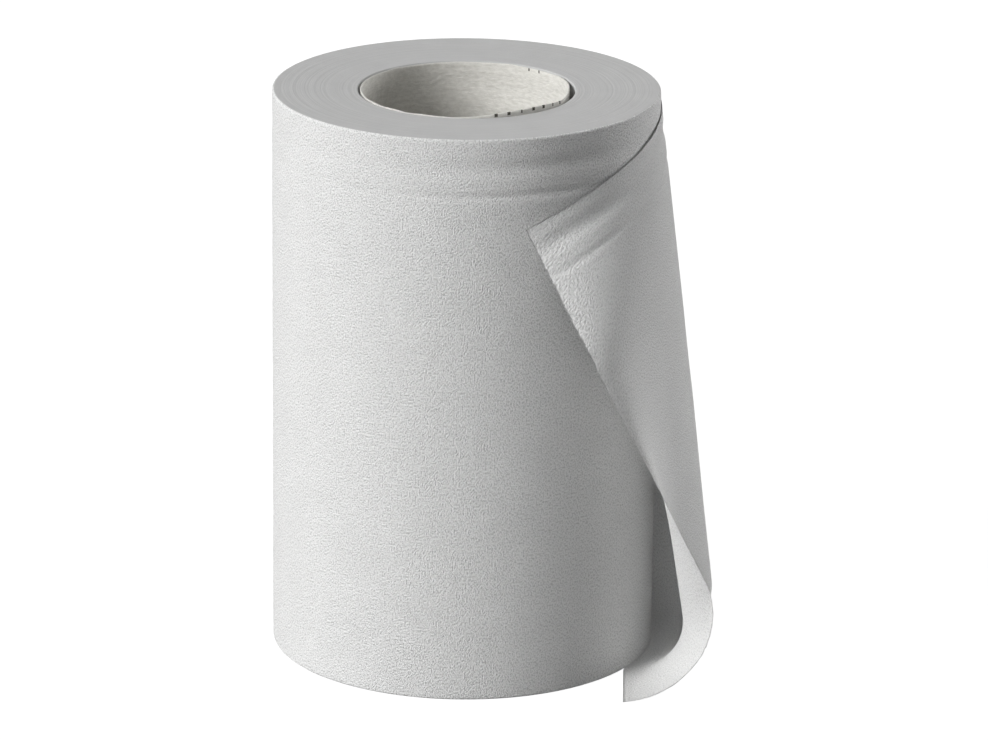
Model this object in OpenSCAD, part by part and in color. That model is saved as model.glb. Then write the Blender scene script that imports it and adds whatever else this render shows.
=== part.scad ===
// Paper towel roll, standing on its end: a paper web wound on a thin paper core,
// with the last turn loose. The loose sheet leaves the roll at the back, comes round
// its right side, bulges out over the floor and laps over the front.
// Millimetres. The roll's axis is Z, its foot is z = 0 and its front looks along -Y.
// An azimuth is in degrees round the axis, from +X towards +Y.

/* [Wound roll] */
// Width of the paper web, which is the height of the standing roll
web_w = 200; // [150:5:260]
// Outer diameter of the wound paper
roll_d = 134; // [112:1:170]
// Diameter of the hole through the wound paper
hole_d = 75; // [50:1:90]
// Rounding where the side of the roll meets its ends
edge_r = 0.8; // [0.4:0.1:2]

/* [Turns on the ends] */
// Distance from one turn line to the next on the end faces
turn_pitch = 2; // [1.2:0.1:5]
// Width of a turn line
turn_line_w = 0.8; // [0.4:0.1:1]
// Depth of a turn line
turn_line_depth = 0.25; // [0.1:0.05:0.5]

/* [Wrinkles below the top edge] */
// Distance from the top edge to the upper wrinkle
wrinkle_upper = 12; // [8:0.5:16]
// Distance from the upper wrinkle to the lower one
wrinkle_step = 8.5; // [7:0.5:14]
// Width of a wrinkle
wrinkle_w = 6; // [3:0.5:7]
// Depth of a wrinkle
wrinkle_depth = 0.5; // [0.2:0.1:1]

/* [Loose sheet] */
// Thickness of the loose sheet
sheet_t = 0.6; // [0.4:0.1:1.2]
// Gap between the loose sheet and the roll that it still hugs
sheet_gap = 0.3; // [0.2:0.1:1]
// Height of the sheet's lower edge above the foot of the roll
sheet_foot = 0.2; // [0.1:0.1:1]
// Azimuth where the sheet's top edge leaves the roll
leave_top = 65; // [45:1:90]
// Azimuth where the sheet's lower edge leaves the roll
leave_base = 80; // [60:1:100]
// Azimuth of the free top corner
corner_top = -73; // [-95:0.5:-55]
// Distance that the free top corner stands off the roll
corner_lift = 1.5; // [0.5:0.5:8]
// Distance that the free top corner has slid down
corner_drop = 31.2; // [15:0.2:40]
// Azimuth where the lower edge stops hugging the foot of the roll
foot_end = -31.5; // [-40:0.5:-15]
// Radius of the bend that the lower edge makes there
foot_bend_r = 6; // [5:0.5:40]
// Heading of the lower edge after the bend, as an azimuth
foot_heading = -90.5; // [-100:0.5:-80]
// Straight run of the lower edge from the bend to the free lower corner
foot_run = 30.5; // [15:0.5:35]
// Distance that the sheet bulges out beyond the side of the roll
bulge = 22; // [12:0.5:28]
// Rise of the sheet where it leaves its lower edge, at the free corner
curl_rise = 3.5; // [0:0.5:8]
// Distance that the sheet bellies out towards the front
belly = 18; // [0:0.5:20]

/* [Core] */
// Wall of the core
core_wall = 1; // [0.6:0.1:3]
// Clearance between the core and the hole in the wound paper
core_gap = 0.2; // [0.1:0.05:0.4]
// Distance of the core's top edge below the top of the roll
core_inset = 0.3; // [0:0.1:2]

/* [Hidden] */

roll_r = roll_d / 2;
hole_r = hole_d / 2;
core_r = hole_r - core_gap;

// Turn lines on one end face, from the hole outwards
turn_lines = floor((roll_r - edge_r - turn_line_w - hole_r) / turn_pitch);

// Corners of a rounded edge and of a wrinkle
edge_steps = 4;
wrinkle_steps = 8;
wrinkle_depths = [wrinkle_upper, wrinkle_upper + wrinkle_step];

// The sheet's grid: columns from where it leaves the roll to its cut edge,
// and rows from its lower edge to its top edge, closer together at the wrinkles
sheet_columns = 34;
sheet_rows = 20;
wrinkle_rows = 14;
wrinkle_zone = 2 * wrinkle_upper + wrinkle_step;

// The first share of the sheet, where it comes up out of the roll's surface
root_share = 0.05;
// Powers that shape how the lift and the drop grow along the sheet
lift_power = 2;
drop_power = 2.3;
// Shares of the sheet between which the bulge grows to its full size
bulge_from = 0.13;
bulge_to = 0.63;
// Smallest radius of the curl, where the sheet still stands upright
curl_min = 0.5;
// Shares of the sheet between which the curl turns to the free run's heading
turn_from = 0.53;
turn_to = 1.07;
// Shares of the sheet between which the belly grows
belly_from = 0.3;
belly_to = 0.91;
// Shares of its width, up from the lower edge, where the belly starts, is full and ends
belly_low = 0.09;
belly_full = 0.52;
belly_high = 0.74;
// Direction in which the belly stands out: its azimuth and its rise
belly_azimuth = -80.5;
belly_rise = 2;
// Depth of the sheet's root below the roll's surface
root_depth = 0.15;

function round_to(r, a) = [r * cos(a), r * sin(a), 0];
function unit(v) = v / norm(v);
function smooth(x) = let (c = min(1, max(0, x))) c * c * (3 - 2 * c);

// Depth of the wrinkles at a distance below the top edge
function wrinkle(d, at) = let (x = (d - at) / wrinkle_w) abs(x) < 0.5 ? wrinkle_depth * pow(cos(180 * x), 2) : 0;
function wrinkles(d) = wrinkle(d, wrinkle_depths[0]) + wrinkle(d, wrinkle_depths[1]);

// The wound paper's outline, from the foot of the hole round to its top

// One turn line in an end face: side is 1 for the top and -1 for the foot
function turn_line(k, z, side) =
    let (r = hole_r + k * turn_pitch)
    [[r - turn_line_w / 2, z], [r, z - side * turn_line_depth], [r + turn_line_w / 2, z]];

function foot_face() = [for (k = [1:turn_lines]) each turn_line(k, 0, -1)];
function top_face() =
    [for (k = [turn_lines:-1:1]) let (line = turn_line(k, web_w, 1)) each [line[2], line[1], line[0]]];

// A quarter circle at the outer edge, between two angles
function edge_arc(z, from, to) =
    [for (i = [0:edge_steps])
        let (a = from + (to - from) * i / edge_steps)
        [roll_r - edge_r + edge_r * cos(a), z + edge_r * sin(a)]];

// One wrinkle in the side, from its lower lip to its upper one
function side_wrinkle(at) =
    [for (i = [0:wrinkle_steps])
        let (d = at + wrinkle_w * (0.5 - i / wrinkle_steps))
        [roll_r - wrinkle(d, at), web_w - d]];

module paper_roll() {
    color([0.87, 0.87, 0.86])
    union() {
        wound_paper();
        loose_sheet();
    }
}

module wound_paper() {
    rotate_extrude($fn = 180)
    polygon(concat(
        [[hole_r, 0]],
        foot_face(),
        edge_arc(edge_r, -90, 0),
        side_wrinkle(wrinkle_depths[1]),
        side_wrinkle(wrinkle_depths[0]),
        edge_arc(web_w - edge_r, 0, 90),
        top_face(),
        [[hole_r, web_w]]
    ));
}

// The loose sheet

// Radius of the sheet's outer face where it hugs the roll, u being the share along
// the sheet: it starts inside the roll's surface and comes out of it
function hug_r(u) =
    let (start = roll_r - root_depth)
    start + (roll_r + sheet_gap + sheet_t - start) * smooth(u / root_share);

// Top edge at u
function sheet_top(u) =
    let (a = leave_top + (corner_top - leave_top) * u)
    let (r = hug_r(u) + corner_lift * pow(u, lift_power))
    round_to(r, a) + [0, 0, web_w - edge_r / 2 - corner_drop * pow(u, drop_power)];

// The lower edge hugs the foot of the roll, bends outwards and then runs straight
hug_len = (leave_base - foot_end) * PI / 180 * roll_r;
bend_angle = foot_heading - (foot_end - 90);
bend_len = bend_angle * PI / 180 * foot_bend_r;
foot_len = hug_len + bend_len + foot_run;

// Azimuth on the roll's foot at u
function hug_azimuth(u) = leave_base + (foot_end - leave_base) * min(1, u * foot_len / hug_len);

function foot_point(u) =
    let (bent = min(bend_len, max(0, u * foot_len - hug_len)) / foot_bend_r * 180 / PI)
    let (run = max(0, u * foot_len - hug_len - bend_len))
    round_to(hug_r(u), hug_azimuth(u))
        + round_to(2 * foot_bend_r * sin(bent / 2), foot_end - 90 + bent / 2)
        + round_to(run, foot_heading)
        + [0, 0, sheet_foot];

// Level direction in which the sheet leaves its lower edge at u
function foot_outward(u) =
    let (turn = smooth((u - turn_from) / (turn_to - turn_from)))
    round_to(1, hug_azimuth(u) + (foot_heading + 90 - hug_azimuth(u)) * turn);

// Across the sheet at u: a curl that starts level on the floor, and a straight
// line that leaves the curl as its tangent and ends at the top edge
function sheet_across(u) =
    let (foot = foot_point(u))
    let (level = foot_outward(u))
    let (out = level * cos(curl_rise * u) + [0, 0, sin(curl_rise * u)])
    let (reach = sheet_top(u) - foot)
    let (up = unit(reach - (reach * out) * out))
    let (bulge_at = hug_r(u) + bulge * smooth((u - bulge_from) / (bulge_to - bulge_from)))
    let (r = max(curl_min, bulge_at - foot * level))
    let (to_top = [reach * out, reach * up - r])
    let (bend = atan2(to_top[1], to_top[0]) - acos(r / norm(to_top)) + 90)
    let (arc = r * bend * PI / 180)
    let (line = sqrt(to_top * to_top - r * r))
    [foot, out, up, r, bend, arc, arc + line];

// Point of the outer face at a distance s up from the lower edge
function sheet_point(a, s) =
    let (r = a[3])
    let (bend = min(a[4], s / r * 180 / PI))
    let (line = max(0, s - a[5]))
    let (x = r * sin(bend) + line * cos(bend))
    let (y = r * (1 - cos(bend)) + line * sin(bend))
    a[0] + a[1] * x + a[2] * y;

// How far the belly moves a point at u, at that share of the sheet's width
function belly_at(u, share) =
    let (grown = smooth((u - belly_from) / (belly_to - belly_from)))
    let (low = smooth((share - belly_low) / (belly_full - belly_low)))
    let (high = smooth((1 - share) / (1 - belly_high)))
    belly * grown * low * high * (round_to(cos(belly_rise), belly_azimuth) + [0, 0, sin(belly_rise)]);

// A point that would lie in the roll goes out to the radius at which the sheet hugs it
function round_the_roll(p, r) = let (at = norm([p[0], p[1]])) at < r ? [p[0] * r / at, p[1] * r / at, p[2]] : p;

// Distance of row j up from the lower edge, on a sheet of that width
function row_s(j, width) =
    let (low = width - wrinkle_zone)
    j <= sheet_rows ? low * j / sheet_rows : low + wrinkle_zone * (j - sheet_rows) / wrinkle_rows;

last_row = sheet_rows + wrinkle_rows;
across = [for (i = [0:sheet_columns]) sheet_across(i / sheet_columns)];
flat_face = [for (i = [0:sheet_columns])
    let (a = across[i])
    let (u = i / sheet_columns)
    [for (j = [0:last_row])
        let (s = row_s(j, a[6]))
        round_the_roll(sheet_point(a, s) + belly_at(u, s / a[6]), hug_r(u))]];

// Outward normal of the sheet at a grid point
function sheet_normal(i, j) =
    let (along = flat_face[min(sheet_columns, i + 1)][j] - flat_face[max(0, i - 1)][j])
    let (upward = flat_face[i][min(last_row, j + 1)] - flat_face[i][max(0, j - 1)])
    unit(cross(upward, along));

// One face of the sheet, at a depth below the outer face
function sheet_face(depth) =
    [for (i = [0:sheet_columns]) for (j = [0:last_row])
        let (below_top = across[i][6] - row_s(j, across[i][6]))
        let (p = flat_face[i][j] - sheet_normal(i, j) * (depth + wrinkles(below_top)))
        [p[0], p[1], max(sheet_foot, p[2])]];

module loose_sheet() {
    wide = last_row + 1;
    inner = wide * (sheet_columns + 1);
    function at(i, j) = i * wide + j;
    points = concat(sheet_face(0), sheet_face(sheet_t));
    outer_faces = [for (i = [0:sheet_columns - 1]) for (j = [0:last_row - 1])
        each [[at(i, j), at(i + 1, j), at(i + 1, j + 1)], [at(i, j), at(i + 1, j + 1), at(i, j + 1)]]];
    inner_faces = [for (f = outer_faces) [f[2] + inner, f[1] + inner, f[0] + inner]];
    // The grid's border, run round once, closes the two faces with a rim
    border = concat(
        [for (j = [0:last_row]) at(0, j)],
        [for (i = [1:sheet_columns]) at(i, last_row)],
        [for (j = [last_row - 1:-1:0]) at(sheet_columns, j)],
        [for (i = [sheet_columns - 1:-1:1]) at(i, 0)]
    );
    rim = [for (k = [0:len(border) - 1])
        let (a = border[k])
        let (b = border[(k + 1) % len(border)])
        each [[a, b, b + inner], [a, b + inner, a + inner]]];
    polyhedron(points, concat(outer_faces, inner_faces, rim), convexity = 6);
}

// The core: a thin paper tube that stands level with the foot of the roll
module core() {
    color([0.84, 0.83, 0.79])
    rotate_extrude($fn = 180)
    translate([core_r - core_wall, 0])
    square([core_wall, web_w - core_inset]);
}

paper_roll();
core();
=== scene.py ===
"""Paper towel roll: the looks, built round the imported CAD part.

Sizes are in millimetres, as in the CAD source, and become metres when a mesh is made.
An azimuth is in degrees round the roll's axis, from +X towards +Y. The front is -Y.
"""

from math import acos, atan2, cos, degrees, hypot, pi, radians, sin, sqrt

import bpy
import numpy as np
from mathutils import Matrix, Vector


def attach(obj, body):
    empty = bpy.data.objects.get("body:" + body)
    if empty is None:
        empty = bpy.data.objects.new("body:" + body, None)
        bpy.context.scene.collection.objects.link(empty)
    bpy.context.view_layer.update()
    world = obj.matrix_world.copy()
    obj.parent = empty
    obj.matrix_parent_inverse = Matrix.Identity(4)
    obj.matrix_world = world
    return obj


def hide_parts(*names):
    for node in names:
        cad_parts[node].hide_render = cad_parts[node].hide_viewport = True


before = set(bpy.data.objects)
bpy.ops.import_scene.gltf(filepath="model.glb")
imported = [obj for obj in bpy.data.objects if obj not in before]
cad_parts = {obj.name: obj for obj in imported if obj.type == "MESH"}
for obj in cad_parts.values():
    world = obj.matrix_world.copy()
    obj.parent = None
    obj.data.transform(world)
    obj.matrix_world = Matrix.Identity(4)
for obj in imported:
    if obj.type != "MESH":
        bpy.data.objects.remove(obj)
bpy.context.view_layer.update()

MM = 0.001

# The roll, as in the CAD source
web_w = 200
roll_r = 67
hole_r = 37.5
edge_r = 0.8

# The loose sheet, a few millimetres off the CAD source's, under the names that it has there.
# Along the sheet, u goes from 0 at its root to 1 at the torn end. foot_ahead is only here:
# above 1, the foot gets round the roll sooner than the top edge.
sheet_foot = 0.2
leave_top = 65
leave_base = 80
corner_top = -72.9
corner_lift = 1.5
corner_drop = 31.16
foot_end = -30.1
foot_bend_r = 9.5
foot_heading = -91.2
foot_run = 30.0
foot_ahead = 1.33
bulge = 22.8
curl_rise = 4.2
belly = 17.5
root_share = 0.05
lift_power = 4
drop_power = 2.3
bulge_from = 0.13
bulge_to = 0.57
curl_min = 0.5
turn_from = 0.56
turn_to = 1.03
belly_from = 0.32
belly_to = 0.98
belly_low = 0.10
belly_full = 0.56
belly_high = 0.74
belly_azimuth = -85.7
belly_rise = 6.3
root_depth = 0.15

# The sheet's paper is drawn thinner than the solid, and closer to the roll
paper_t = 0.18
paper_gap = 0.1
# The sheet's foot reaches that far under the roll's rounded edge
tuck = 0.6

# The core: the radii of its faces, of its laid-out paper, and the levels of its lip
core_in_r = 36.35
core_out_r = 37.1
core_flat_r = 36.5
lip_z = 196.6
lip_top = 200.2


def smooth(x):
    """A smooth step from 0 to 1 while x goes from 0 to 1."""
    c = np.clip(x, 0, 1)
    return c * c * (3 - 2 * c)


def hump(x, centre, width):
    """A smooth hump of height 1 and that full width."""
    t = np.clip((x - centre) / width, -0.5, 0.5)
    return np.cos(pi * t) ** 2


def round_to(r, azimuth):
    """The level vector of length r with that azimuth."""
    a = radians(azimuth)
    return np.array([r * cos(a), r * sin(a), 0.0])


def unit(v):
    return v / np.linalg.norm(v, axis=-1, keepdims=True)


def soft_noise(x, y, cell_x, cell_y, seed, around=0):
    """Smooth noise from -1 to 1 over cells of that size. around is x's full turn, where it closes."""
    rows = 512
    columns = max(3, round(around / cell_x)) if around else rows
    step = around / columns if around else cell_x
    values = np.random.default_rng(seed).uniform(-1, 1, (columns, rows))
    gx = x / step
    gy = y / cell_y
    i = np.floor(gx).astype(int)
    j = np.floor(gy).astype(int)
    fx = smooth(gx - i)
    fy = smooth(gy - j)
    left = i % columns
    right = (i + 1) % columns
    low = values[left, j % rows] * (1 - fx) + values[right, j % rows] * fx
    high = values[left, (j + 1) % rows] * (1 - fx) + values[right, (j + 1) % rows] * fx
    return low * (1 - fy) + high * fy


# Meshes

def grid_faces(columns, rows, closed=False, start=0, flip=False):
    """Quads of a grid that is stored column by column. closed joins the last column to the first."""
    i = np.arange(columns if closed else columns - 1)
    j = np.arange(rows - 1)
    i, j = (a.ravel() for a in np.meshgrid(i, j, indexing="ij"))
    k = (i + 1) % columns
    quads = np.stack([i * rows + j, k * rows + j, k * rows + j + 1, i * rows + j + 1], 1) + start
    return quads[:, ::-1] if flip else quads


def make_piece(name, points, faces, uv, materials, face_material=None, smooth_faces=0):
    """A smooth-shaded mesh from points in millimetres.

    uv is each point's place on the paper, in millimetres. Where smooth_faces is given, the faces
    after that many are flat.
    """
    mesh = bpy.data.meshes.new(name)
    mesh.from_pydata((points * MM).tolist(), [], faces.tolist())
    layer = mesh.uv_layers.new(name="paper")
    corner_point = np.zeros(len(mesh.loops), np.int32)
    mesh.loops.foreach_get("vertex_index", corner_point)
    layer.data.foreach_set("uv", (uv[corner_point] * MM).astype(np.float32).ravel())
    mesh.polygons.foreach_set("use_smooth", np.arange(len(faces)) < (smooth_faces or len(faces)))
    for material in materials:
        mesh.materials.append(material)
    if face_material is not None:
        mesh.polygons.foreach_set("material_index", face_material.astype(np.int32))
    mesh.update()
    piece = bpy.data.objects.new(name, mesh)
    bpy.context.scene.collection.objects.link(piece)
    return piece


# Materials

class Nodes:
    """Makes a material's nodes. add() returns the new node's first output."""

    def __init__(self, name):
        self.material = bpy.data.materials.new(name)
        self.material.use_nodes = True
        self.tree = self.material.node_tree
        self.shader = self.tree.nodes["Principled BSDF"]

    def add(self, kind, inputs=None, output=0, **settings):
        made = self.tree.nodes.new("ShaderNode" + kind)
        for key, value in settings.items():
            setattr(made, key, value)
        for key, value in (inputs or {}).items():
            self.put(made.inputs[key], value)
        return made.outputs[output]

    def put(self, socket, value):
        if isinstance(value, bpy.types.NodeSocket):
            self.tree.links.new(value, socket)
        else:
            socket.default_value = value

    def set(self, key, value):
        self.put(self.shader.inputs[key], value)

    def times(self, a, b):
        return self.add("Math", {0: a, 1: b}, operation="MULTIPLY")

    def paper_place(self, stretch=(1, 1, 1)):
        """The place on the paper, in metres, times stretch."""
        place = self.add("UVMap", uv_map="paper")
        return self.add("VectorMath", {0: place, 1: stretch}, operation="MULTIPLY")

    def noise(self, place, size_mm, detail=2.0, rough=0.5):
        inputs = {"Vector": place, "Scale": 1000 / size_mm, "Detail": detail, "Roughness": rough}
        return self.add("TexNoise", inputs)

    def ramp(self, value, low, high, from_value=0.0, to_value=1.0):
        inputs = {0: value, 1: low, 2: high, 3: from_value, 4: to_value}
        return self.add("MapRange", inputs)

    def mix(self, share, a, b):
        return self.add("Mix", {0: share, 6: a, 7: b}, output=2, data_type="RGBA")

    def let_through(self, share):
        """Lets that share of the light pass, as thin paper does."""
        passed = self.add("BsdfTranslucent", {"Color": (share, share, share, 1)})
        both = self.add("AddShader", {0: self.shader.outputs[0], 1: passed})
        self.put(self.tree.nodes["Material Output"].inputs["Surface"], both)

    def bump(self, height, depth_mm, normal=None):
        inputs = {"Height": height, "Distance": depth_mm * MM, "Strength": 1.0}
        if normal is not None:
            inputs["Normal"] = normal
        return self.add("Bump", inputs)


def paper_material(name, colour, dark, grain_depth, rib_depth, through=0, root_colour=None):
    """Creped tissue: a pebbled grain with painted shade in its hollows, faint ribs across the web, and a
    few specks.

    through is the share of light that passes. root_colour is the colour where the web leaves the roll.
    """
    n = Nodes(name)
    place = n.paper_place()
    grain = n.noise(n.paper_place((1, 0.75, 1)), 0.5, 2.0, 0.6)
    ribs = n.noise(n.paper_place((1, 0.12, 1)), 0.9, 1.0, 0.5)
    cloud = n.noise(place, 14, 3.0, 0.55)
    speck = n.noise(place, 1.1, 0.0, 0.5)
    specks = n.times(n.ramp(speck, 0.795, 0.84), n.ramp(n.noise(place, 9, 0.0), 0.56, 0.6))
    tone = n.mix(n.ramp(cloud, 0.3, 0.7), colour, dark)
    if root_colour:
        from_root = n.add("SeparateXYZ", {0: place})
        tone = n.mix(n.ramp(from_root, 0.0, 60 * MM), root_colour, tone)
    # Painted shade: where the grain is low, in the hollows of its relief, the tone goes up to 0.8 of the
    # way to a mid grey.
    tone = n.mix(n.ramp(grain, 0.56, 0.34, 0.0, 0.8), tone, (0.48, 0.48, 0.475, 1))
    tone = n.mix(n.times(specks, 0.35), tone, (0.32, 0.31, 0.29, 1))
    n.set("Base Color", tone)
    n.set("Roughness", n.ramp(grain, 0.3, 0.7, 0.86, 0.97))
    n.set("Specular IOR Level", 0.25)
    n.set("Sheen Weight", 0.08)
    n.set("Sheen Roughness", 0.6)
    normal = n.bump(grain, grain_depth)
    n.set("Normal", n.bump(ribs, rib_depth, normal))
    if through:
        n.let_through(through)
    return n.material


def end_material():
    """The wound web's edges: fine turn lines round the roll, with a little fluff."""
    n = Nodes("paper_ends")
    at = n.add("TexCoord", output=3)
    level = n.add("VectorMath", {0: at, 1: (1, 1, 0)}, operation="MULTIPLY")
    radius = n.add("VectorMath", {0: level}, output=1, operation="LENGTH")
    turns = n.noise(n.add("CombineXYZ", {0: radius, 1: 0.0, 2: 0.0}), 0.55, 1.5, 0.6)
    fluff = n.noise(at, 0.9, 2.5, 0.6)
    cloud = n.noise(at, 9, 2.0, 0.5)
    tone = n.mix(n.ramp(turns, 0.3, 0.7), (0.47, 0.47, 0.47, 1), (0.6, 0.6, 0.595, 1))
    tone = n.mix(n.ramp(cloud, 0.25, 0.75, 0.0, 0.35), tone, (0.47, 0.47, 0.47, 1))
    n.set("Base Color", tone)
    n.set("Roughness", n.ramp(fluff, 0.3, 0.7, 0.88, 0.98))
    n.set("Specular IOR Level", 0.2)
    n.set("Sheen Weight", 0.05)
    normal = n.bump(turns, 0.05)
    n.set("Normal", n.bump(fluff, 0.09, normal))
    return n.material


def core_material():
    """The lining's thin, slightly warm paper with its fine creases, their hollows darkened as painted
    shade.
    """
    n = Nodes("core_paper")
    crease = n.noise(n.paper_place((0.45, 1, 1)), 1.2, 3.0, 0.6)
    grain = n.noise(n.paper_place(), 0.8, 1.0, 0.5)
    # Painted shade: the creases' hollows are darker and their ridges lighter.
    tone = n.mix(n.ramp(crease, 0.35, 0.65), (0.54, 0.53, 0.495, 1), (0.66, 0.65, 0.615, 1))
    n.set("Base Color", tone)
    n.set("Roughness", n.ramp(grain, 0.3, 0.7, 0.82, 0.94))
    n.set("Specular IOR Level", 0.25)
    normal = n.bump(crease, 0.4)
    n.set("Normal", n.bump(grain, 0.05, normal))
    n.let_through(0.12)
    return n.material


def perforation_shade_material():
    """Painted shade: the dark inside of the core's small perforations, which are faces of the tube in this
    colour and not holes.
    """
    n = Nodes("perforation_shade")
    shade = n.noise(n.paper_place(), 0.7, 1.0, 0.5)
    n.set("Base Color", n.mix(shade, (0.05, 0.048, 0.04, 1), (0.11, 0.105, 0.09, 1)))
    n.set("Roughness", 0.9)
    n.set("Specular IOR Level", 0.1)
    n.set("Normal", n.bump(shade, 0.05))
    return n.material


paper = paper_material("paper", (0.88, 0.88, 0.875, 1), (0.84, 0.84, 0.835, 1), 0.75, 0.035)
sheet_paper = paper_material("sheet_paper", (0.77, 0.77, 0.765, 1), (0.74, 0.74, 0.735, 1), 0.8, 0.05,
                             through=0.16, root_colour=(0.86, 0.86, 0.855, 1))
paper_ends = end_material()
core_paper = core_material()
perforation_shade = perforation_shade_material()


# The wound paper

def wrinkle_depth(below_top, along):
    """Depth of the two wrinkles below the top edge: a soft band and a narrower crease."""
    band_at = 10.8
    band_w = 9.5
    crease_at = 20.3
    crease_w = 4.5
    drift = soft_noise(along, 0 * along, 45, 10, 3)
    band = 0.6 * hump(below_top, band_at + 0.5 * drift, band_w)
    crease = 0.4 * hump(below_top, crease_at + 0.5 * drift, crease_w)
    return band * (0.85 + 0.15 * drift) + crease * (0.85 - 0.15 * drift)


def spaced(*stops):
    """Values through stops, each a (value, step) pair: from one value to the next in about that step."""
    out = [stops[0][0]]
    for (a, step), (b, _) in zip(stops, stops[1:]):
        count = max(1, round(abs(b - a) / step))
        out += [a + (b - a) * (k + 1) / count for k in range(count)]
    return np.array(out)


def wound_paper():
    """The wound roll: its outline turned round the axis, with its wrinkles, turns and dents."""
    columns = 300
    # The top of the side has finer rows, for the wrinkles
    wrinkled = 34
    # The hole's wall has one row of points between its ends, that far below the top
    wall_row = 30
    end_r = roll_r - edge_r
    side_z = spaced((edge_r, 2.2), (web_w - wrinkled, 0.6), (web_w - edge_r, 1))
    ring_r = spaced((end_r, 0.38), (hole_r, 1))
    foot_r = spaced((hole_r, 0.9), (end_r, 1))
    arc = np.radians(np.linspace(0, 90, 6))[1:-1]
    low_arc = np.stack([end_r + edge_r * np.sin(arc), edge_r - edge_r * np.cos(arc)], 1)
    top_arc = np.stack([end_r + edge_r * np.cos(arc), web_w - edge_r + edge_r * np.sin(arc)], 1)
    outline = np.concatenate([
        np.stack([foot_r, 0 * foot_r], 1),
        low_arc,
        np.stack([0 * side_z + roll_r, side_z], 1),
        top_arc,
        np.stack([ring_r, 0 * ring_r + web_w], 1),
        [[hole_r, web_w - wall_row], [hole_r, 0.5]],
    ])
    rows = len(outline)
    azimuth = np.linspace(-180, 180, columns, endpoint=False)
    az = np.repeat(azimuth, rows)
    r = np.tile(outline[:, 0], columns)
    z = np.tile(outline[:, 1], columns)
    along = np.radians(az) * roll_r
    turn = 2 * pi * roll_r

    on_side = r > end_r - 0.01
    strength = 0.25 + 0.75 * smooth((az + 125) / 55) * smooth((200 - az) / 40)
    dent = wrinkle_depth(web_w - z, along) * strength
    waves = 0.05 * soft_noise(along, z, 26, 9, 11, turn) + 0.03 * soft_noise(along, z, 70, 3.2, 12, turn)
    r = np.where(on_side, r - dent + waves * smooth(z / 6) * smooth((web_w - z) / 4), r)

    # The ring sinks a little towards the core, and single turns stand higher or lower
    on_ring = (z > web_w - 0.01) & (r < end_r + 0.01)
    inward = (roll_r - r) / (roll_r - hole_r)
    # The noise on the ring is laid out round that radius
    noise_r = 40
    along_ring = np.radians(az) * noise_r
    ring_turn = 2 * pi * noise_r
    turns = 0.06 * soft_noise(r, 0 * r, 0.8, 1, 21) + 0.05 * soft_noise(r, 0 * r, 2.4, 1, 22)
    folds = 0.06 * soft_noise(along_ring, r, 5, 16, 23, ring_turn) * smooth((75 - np.abs(az)) / 50)
    swell = 0.12 * soft_noise(along_ring, r, 36, 14, 24, ring_turn)
    sink = 0.75 * inward ** 1.6
    z = np.where(on_ring, z - sink + (turns + folds + swell) * smooth(inward * 8), z)

    points = np.stack([r * np.cos(np.radians(az)), r * np.sin(np.radians(az)), z], 1)
    uv = np.stack([along, np.where(on_side, z, r)], 1)
    faces = grid_faces(columns, rows, closed=True)
    row = faces[:, 0] % rows
    side_start = len(foot_r) + 1
    side_end = len(foot_r) + len(low_arc) + len(side_z) + len(top_arc) - 1
    on_end = (row < side_start) | (row >= side_end)
    return make_piece("wound_paper", points, faces, uv, [paper, paper_ends], on_end)


# The loose sheet

def hug_r(u):
    """Radius of the outer face where the sheet hugs the roll. Its root starts in the roll."""
    start = roll_r - root_depth
    return start + (roll_r + paper_gap + paper_t - start) * float(smooth(u / root_share))


def sheet_top(u):
    """The sheet's top edge."""
    a = leave_top + (corner_top - leave_top) * u
    top = round_to(hug_r(u) + corner_lift * u ** lift_power, a)
    return top + [0, 0, web_w - edge_r / 2 - corner_drop * u ** drop_power]


hug_len = radians(leave_base - foot_end) * roll_r
bend_angle = foot_heading - (foot_end - 90)
bend_len = radians(bend_angle) * foot_bend_r
foot_len = hug_len + bend_len + foot_run


def foot_at(u):
    """Length of the foot from the root to u. It runs ahead of the top edge: the sheet hangs aslant."""
    return foot_len * (1 - (1 - u) ** foot_ahead)


def hug_azimuth(u):
    """Azimuth at which the foot hugs the roll, or last did."""
    return leave_base + (foot_end - leave_base) * min(1, foot_at(u) / hug_len)


def foot_point(u):
    """The sheet's foot: it hugs the roll, bends away from it and then runs straight."""
    bent = degrees(min(bend_len, max(0, foot_at(u) - hug_len)) / foot_bend_r)
    run = max(0, foot_at(u) - hug_len - bend_len)
    hugged = round_to(hug_r(u) - tuck, hug_azimuth(u))
    bend = round_to(2 * foot_bend_r * sin(radians(bent / 2)), foot_end - 90 + bent / 2)
    return hugged + bend + round_to(run, foot_heading) + [0, 0, sheet_foot]


def foot_outward(u):
    """The way the sheet bulges from its foot: off the roll, and at the torn end off the straight run."""
    turn = float(smooth((u - turn_from) / (turn_to - turn_from)))
    return round_to(1, hug_azimuth(u) + (foot_heading + 90 - hug_azimuth(u)) * turn)


def belly_at(u, share):
    """How far the belly moves points at u, at those shares of the sheet's width."""
    grown = smooth((u - belly_from) / (belly_to - belly_from))
    low = smooth((share - belly_low) / (belly_full - belly_low))
    high = smooth((1 - share) / (1 - belly_high))
    rise = radians(belly_rise)
    towards = round_to(cos(rise), belly_azimuth) + [0, 0, sin(rise)]
    return np.outer(belly * grown * low * high, towards)


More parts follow.
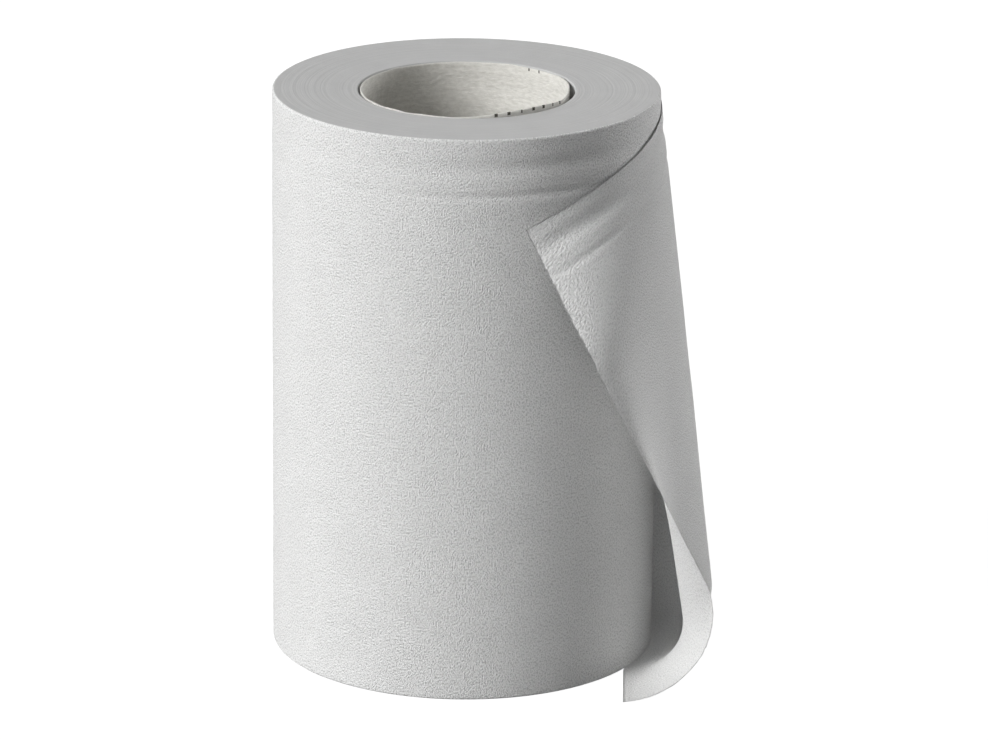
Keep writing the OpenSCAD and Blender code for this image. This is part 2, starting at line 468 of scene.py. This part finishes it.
def sheet_section(u, shares):
    """Points of the outer face across the sheet at u, at those shares of its width, and the width."""
    foot = foot_point(u)
    level = foot_outward(u)
    rise = radians(curl_rise * u)
    out = level * cos(rise) + [0, 0, sin(rise)]
    reach = sheet_top(u) - foot
    up = unit(reach - (reach @ out) * out)
    bulge_at = hug_r(u) + bulge * float(smooth((u - bulge_from) / (bulge_to - bulge_from)))
    r = max(curl_min, bulge_at - foot @ level)
    x = reach @ out
    y = reach @ up - r
    bend = atan2(y, x) - acos(r / hypot(x, y)) + pi / 2
    arc = r * bend
    width = arc + sqrt(x * x + y * y - r * r)
    s = shares * width
    t = np.minimum(bend, s / r)
    line = np.maximum(0, s - arc)
    across = r * np.sin(t) + line * np.cos(t)
    height = r * (1 - np.cos(t)) + line * np.sin(t)
    points = foot + np.outer(across, out) + np.outer(height, up) + belly_at(u, shares)
    plan = np.hypot(points[:, 0], points[:, 1])
    clear_of = hug_r(u) - tuck * smooth(1 - points[:, 2] / edge_r)
    points[:, :2] *= np.maximum(1, clear_of / plan)[:, None]
    return points, width


def loose_sheet():
    """The loose last turn: near the CAD sheet, with wrinkles, soft waves and a torn, perforated end."""
    columns = 128
    fine_columns = 22
    fine_from = 0.93
    shares = spaced((0, 0.0052), (0.84, 0.0026), (1, 1))
    rows = len(shares)
    coarse = np.linspace(0, fine_from, columns - fine_columns)
    us = np.concatenate([coarse, np.linspace(fine_from, 1, fine_columns + 1)[1:]])
    made = [sheet_section(u, shares) for u in us]
    flat = np.stack([m[0] for m in made])
    width = np.array([m[1] for m in made])
    u = np.repeat(us[:, None], rows, 1)
    up_s = shares[None, :] * width[:, None]
    below_top = width[:, None] - up_s
    length = np.concatenate([[0], np.cumsum(np.linalg.norm(np.diff(flat[:, rows // 2], axis=0), axis=1))])
    along = np.repeat(length[:, None], rows, 1)

    # The torn end keeps the small teeth of the perforation
    tooth = 0.22 * soft_noise(up_s, 0 * up_s, 1.3, 1, 41) + 0.12 * soft_noise(up_s, 0 * up_s, 5, 1, 42)
    back = unit(flat[-2] - flat[-1])
    flat = flat + back[None] * ((0.3 - tooth) * smooth((u - 0.985) / 0.015))[..., None]

    normal = unit(np.cross(np.gradient(flat, axis=1), np.gradient(flat, axis=0)))
    waves = 0.18 * soft_noise(along, up_s, 38, 55, 43) + 0.08 * soft_noise(along, up_s, 14, 20, 44)
    free = smooth((u - 0.15) / 0.3) * (0.1 + 0.9 * smooth((1 - u) / 0.12))
    # The wrinkles lie higher and deeper on the part that laps over the front, and fade to its end
    lap = smooth((u - 0.3) / 0.3)
    fade = 0.4 + 0.6 * smooth((1 - u) / 0.06)
    other_drift = 500
    dent = wrinkle_depth(below_top + 3 * lap, other_drift - along) * (1 + 0.5 * lap) * fade
    dent = dent - waves * free * smooth(up_s / 12)
    outer = flat - normal * dent[..., None]
    inner = outer - normal * paper_t
    outer[..., 2] = np.maximum(sheet_foot, outer[..., 2])
    inner[..., 2] = np.maximum(sheet_foot, inner[..., 2])

    points = np.concatenate([outer.reshape(-1, 3), inner.reshape(-1, 3)])
    uv = np.stack([along.ravel(), up_s.ravel()], 1)
    inner_shift = 300
    uv = np.concatenate([uv, uv + [inner_shift, 0]])
    count = columns * rows
    faces = [grid_faces(columns, rows, flip=True), grid_faces(columns, rows, start=count)]
    at = np.arange(count).reshape(columns, rows)
    border = np.concatenate([at[0], at[1:, -1], at[-1, -2::-1], at[-2:0:-1, 0]])
    ahead = np.roll(border, -1)
    smooth_faces = len(faces[0]) + len(faces[1])
    faces.append(np.stack([border, ahead, ahead + count, border + count], 1))
    faces = np.concatenate(faces)
    return make_piece("loose_sheet", points, faces, uv, [sheet_paper], smooth_faces=smooth_faces)


# The core

# Rows of holes, painted as dark shade on the core's faces: the middle, half a row and half a hole in
# degrees round, then the holes' levels
front_row = (-51.5, 24, 0.75, 199.2, lip_top)
back_row = (44, 12, 0.3, 199.1, 199.7)


def in_row(row, azimuth, off, level):
    """True for the faces in a hole of that row. off is how far each is from the middle of a hole."""
    middle, half_row, half_hole, low, high = row
    return (np.abs(azimuth - middle) < half_row) & (off < half_hole) & (level > low) & (level <= high)


def core_tube():
    """The thin core: creased inside, pulled in at the right, with two short rows of perforations painted
    as dark shade.
    """
    columns = 400
    wall_z = spaced((0, 3), (120, 1.6), (lip_z, 0.5), (lip_top, 1))
    rows_in = len(wall_z)
    outer_z = spaced((lip_top, 0.5), (lip_z, 8), (0, 1))
    azimuth = np.linspace(-180, 180, columns, endpoint=False)
    z = np.tile(np.concatenate([wall_z, outer_z]), columns)
    rows = rows_in + len(outer_z)
    az = np.repeat(azimuth, rows)
    inside = np.tile(np.arange(rows) < rows_in, columns)
    arc = np.radians(az) * core_flat_r
    turn = 2 * pi * core_flat_r

    pulled = 1.5 * hump(az, -6, 62) * smooth((z - 120) / 70)
    fine = 0.16 * soft_noise(arc + z * 0.8, z, 5.5, 2.1, 51, turn)
    ripple = fine + 0.3 * soft_noise(arc, z, 17, 11, 52, turn)
    near_lip = smooth((z - 190) / 8)
    r = np.where(inside, core_in_r + 0.25 * (1 + ripple), core_out_r) - pulled
    r = r - 0.4 * near_lip
    # Level of the top edge: it stands proud of the ring at the front right
    proud = 1.6 * hump(az, -50, 100) + 0.15 * soft_noise(arc, 0 * z, 6, 1, 53, turn)
    z = z + (proud - 0.9) * near_lip

    # How far each point is from the middle of the nearest hole, in degrees
    pitch = 7.5
    near = np.abs((az + 29.3 + pitch / 2) % pitch - pitch / 2)
    points = np.stack([r * np.cos(np.radians(az)), r * np.sin(np.radians(az)), z], 1)
    uv = np.stack([arc, z], 1)
    faces = grid_faces(columns, rows, closed=True, flip=True)
    foot = np.arange(columns) * rows
    ahead = np.roll(foot, -1)
    faces = np.concatenate([faces, np.stack([foot, foot + rows - 1, ahead + rows - 1, ahead], 1)[:, ::-1]])
    row = faces[:, 3] % rows
    level = np.concatenate([wall_z, outer_z])[row]
    at = az[faces[:, 3]]
    off = near[faces[:, 3]]
    # Faces in the holes get the painted shade of the perforations.
    hole_shade = in_row(front_row, at, off, level) | in_row(back_row, at, off, level)
    return make_piece("core_tube", points, faces, uv, [core_paper, perforation_shade], hole_shade)


roll = wound_paper()
sheet = loose_sheet()
core = core_tube()

for piece, slot in ((roll, "paper"), (sheet, "paper"), (core, "core_paper")):
    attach(piece, "root")
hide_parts("paper_roll")
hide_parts("core")


# The floor: the object's shadow falls on it, and the camera sees it white

def seen(tree):
    """1 where the camera, a mirror or a glass looks, and 0 for light on the object."""
    path = tree.nodes.new("ShaderNodeLightPath").outputs
    first = tree.nodes.new("ShaderNodeMath")
    first.operation = "MAXIMUM"
    tree.links.new(path["Is Camera Ray"], first.inputs[0])
    tree.links.new(path["Is Glossy Ray"], first.inputs[1])
    both = tree.nodes.new("ShaderNodeMath")
    both.operation = "MAXIMUM"
    tree.links.new(first.outputs[0], both.inputs[0])
    tree.links.new(path["Is Transmission Ray"], both.inputs[1])
    return both.outputs[0]


def floor_material():
    """A dim grey floor for the shadow and the light, with a white glow for the camera alone."""
    material = bpy.data.materials.new("floor")
    material.use_nodes = True
    tree = material.node_tree
    tree.nodes.clear()
    white = tree.nodes.new("ShaderNodeEmission")
    plain = tree.nodes.new("ShaderNodeBsdfDiffuse")
    plain.inputs["Color"].default_value = (0.14, 0.14, 0.14, 1)
    both = tree.nodes.new("ShaderNodeAddShader")
    out = tree.nodes.new("ShaderNodeOutputMaterial")
    scale = tree.nodes.new("ShaderNodeMath")
    scale.operation = "MULTIPLY"
    scale.inputs[1].default_value = 0.97
    tree.links.new(seen(tree), scale.inputs[0])
    tree.links.new(scale.outputs[0], white.inputs["Strength"])
    tree.links.new(white.outputs[0], both.inputs[0])
    tree.links.new(plain.outputs[0], both.inputs[1])
    tree.links.new(both.outputs[0], out.inputs["Surface"])
    return material


def make_floor():
    """The square floor, which stands for the stage and not for a piece."""
    half = 3.0
    corners = [(-half, -half, 0), (half, -half, 0), (half, half, 0), (-half, half, 0)]
    mesh = bpy.data.meshes.new("floor")
    mesh.from_pydata(corners, [], [(0, 1, 2, 3)])
    mesh.materials.append(floor_material())
    floor = bpy.data.objects.new("floor", mesh)
    bpy.context.scene.collection.objects.link(floor)


def make_world(strength):
    """An even light all round, which the camera sees white."""
    world = bpy.data.worlds.new("studio")
    bpy.context.scene.world = world
    world.use_nodes = True
    tree = world.node_tree
    tree.nodes.clear()
    light = tree.nodes.new("ShaderNodeBackground")
    light.inputs["Strength"].default_value = strength
    backdrop = tree.nodes.new("ShaderNodeBackground")
    backdrop.inputs["Strength"].default_value = 1.0
    for background in (light, backdrop):
        background.inputs["Color"].default_value = (1, 1, 1, 1)
    pick = tree.nodes.new("ShaderNodeMixShader")
    out = tree.nodes.new("ShaderNodeOutputWorld")
    tree.links.new(seen(tree), pick.inputs[0])
    tree.links.new(light.outputs[0], pick.inputs[1])
    tree.links.new(backdrop.outputs[0], pick.inputs[2])
    tree.links.new(pick.outputs[0], out.inputs["Surface"])


def make_lamp(name, strength, azimuth, elevation, spread):
    """A broad soft lamp far off in that direction. strength is the light on a surface that faces it."""
    lamp = bpy.data.lights.new(name, "SUN")
    lamp.energy = strength * pi
    lamp.angle = radians(spread)
    made = bpy.data.objects.new(name, lamp)
    a, e = radians(azimuth), radians(elevation)
    towards = Vector((cos(a) * cos(e), sin(a) * cos(e), sin(e)))
    made.rotation_mode = "QUATERNION"
    made.rotation_quaternion = towards.to_track_quat("Z", "Y")
    bpy.context.scene.collection.objects.link(made)


make_floor()
make_world(0.07)
make_lamp("key", 1.1, -148, 27, 28)
make_lamp("front", 0.14, -98, 20, 40)
make_lamp("rim", 0.94, 36, 6, 35)
make_lamp("back_fill", 0.28, 143, 4, 60)


def make_camera():
    """The camera, at the photograph's viewing angle."""
    elevation = radians(18.0)
    distance = 2.050
    aim = Vector((0.01033, 0, 0.09775))
    roll_angle = radians(0.555)
    look = Vector((0, cos(elevation), -sin(elevation)))
    right = Vector((1, 0, 0))
    up = right.cross(look)
    turned_right = right * cos(roll_angle) + up * sin(roll_angle)
    turned_up = up * cos(roll_angle) - right * sin(roll_angle)
    data = bpy.data.cameras.new("camera")
    data.sensor_width = 36
    data.lens = 213.6
    data.clip_start = 0.05
    data.clip_end = 20
    camera = bpy.data.objects.new("camera", data)
    columns = Matrix((turned_right, turned_up, -look)).transposed()
    camera.matrix_world = Matrix.Translation(aim - look * distance) @ columns.to_4x4()
    bpy.context.scene.collection.objects.link(camera)
    bpy.context.scene.camera = camera


make_camera()
bpy.context.scene.view_settings.view_transform = "Standard"

bpy.context.view_layer.update()
